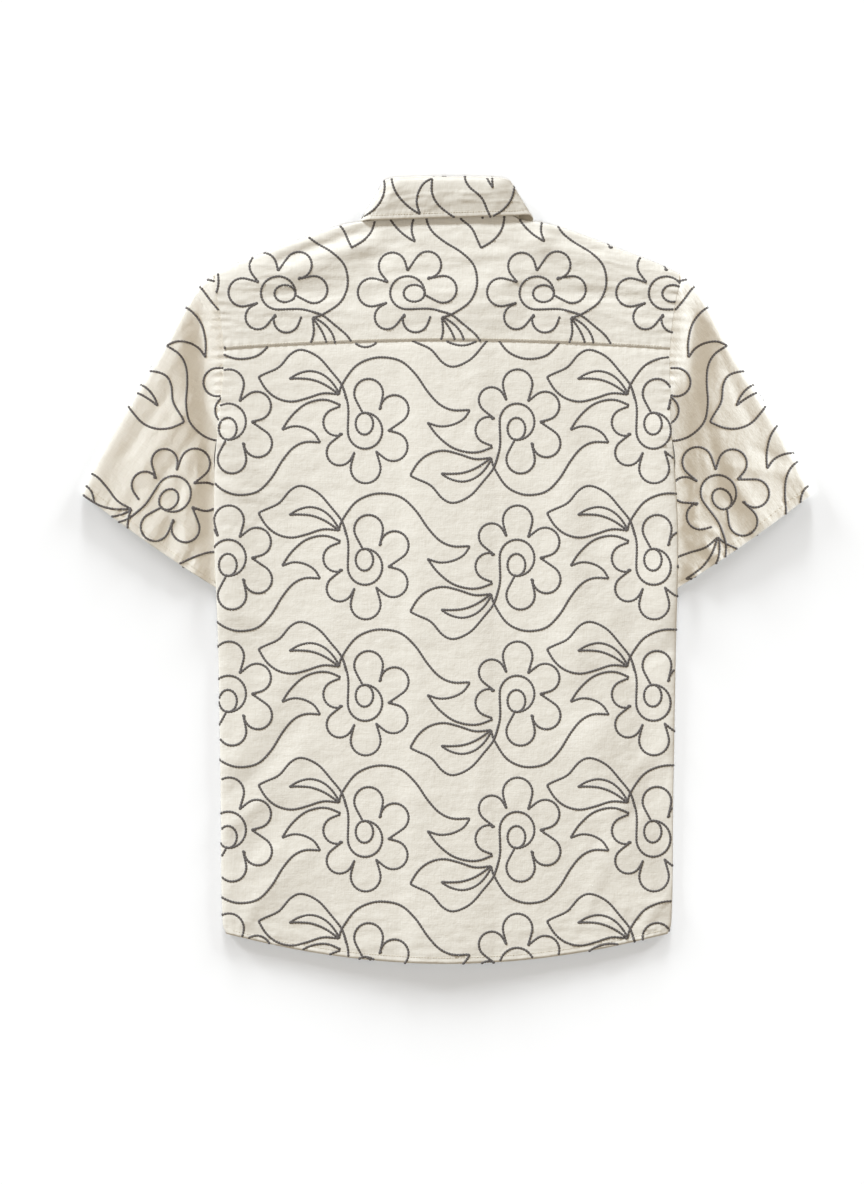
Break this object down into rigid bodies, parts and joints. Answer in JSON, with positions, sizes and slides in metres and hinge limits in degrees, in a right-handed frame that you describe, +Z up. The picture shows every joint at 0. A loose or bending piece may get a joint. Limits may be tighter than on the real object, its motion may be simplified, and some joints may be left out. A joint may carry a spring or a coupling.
{
  "type": "embroidered shirt",
  "caption": "Short-sleeved cotton shirt with a turned-down collar and flower and leaf line embroidery, laid flat on its buttoned front with its back up.",
  "frame": {"origin": "middle of the laid shirt, on the surface that it lies on", "axes": "+Z up through the back of the shirt, +Y from the hem to the collar, +X towards the wearer's right sleeve"},
  "size_m": [0.769, 0.8247, 0.0113],
  "materials": {
    "cloth": "matt cream plain weave with slubs, dark grey line embroidery",
    "button": "satin cream four-hole buttons"
  },
  "bodies": {
    "root": {"back_panel": "cloth", "back_yoke": "cloth", "front_left": "cloth", "front_right": "cloth", "front_band": "cloth", "sleeve_left": "cloth", "sleeve_right": "cloth", "collar_stand": "cloth", "collar_leaf": "cloth", "button_1": "button", "button_2": "button", "button_3": "button", "button_4": "button", "button_5": "button", "button_6": "button", "button_7": "button"}
  },
  "joints": []
}
